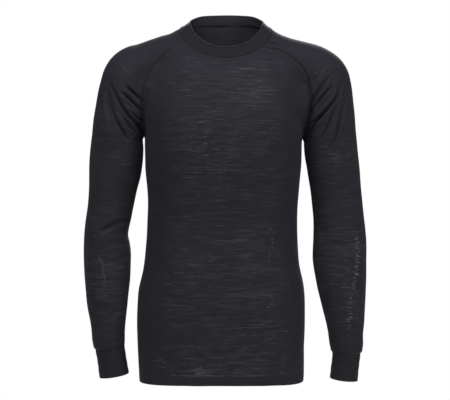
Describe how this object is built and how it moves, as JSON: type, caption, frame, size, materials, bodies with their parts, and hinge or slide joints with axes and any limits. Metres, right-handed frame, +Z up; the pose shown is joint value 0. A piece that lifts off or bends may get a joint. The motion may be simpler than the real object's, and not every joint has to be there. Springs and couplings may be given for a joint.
{
  "type": "base layer top",
  "caption": "Long-sleeved crew-neck base layer top with raglan sleeves, a neck band and cuffs and a stitched hem, hollow as worn.",
  "frame": {"origin": "midway between the shoulders, at the height where the cloth rests on the wearer's shoulders", "axes": "+Z up, the front faces -Y, +X is the wearer's left"},
  "size_m": [0.5615, 0.2341, 0.7292],
  "materials": {
    "jersey": "fine slubbed jersey, low sheen",
    "band_jersey": "folded double, low sheen"
  },
  "bodies": {
    "root": {"front": "jersey", "back": "jersey", "sleeve_right": "jersey", "sleeve_left": "jersey", "neckband": "band_jersey", "cuff_right": "band_jersey", "cuff_left": "band_jersey"}
  },
  "joints": []
}
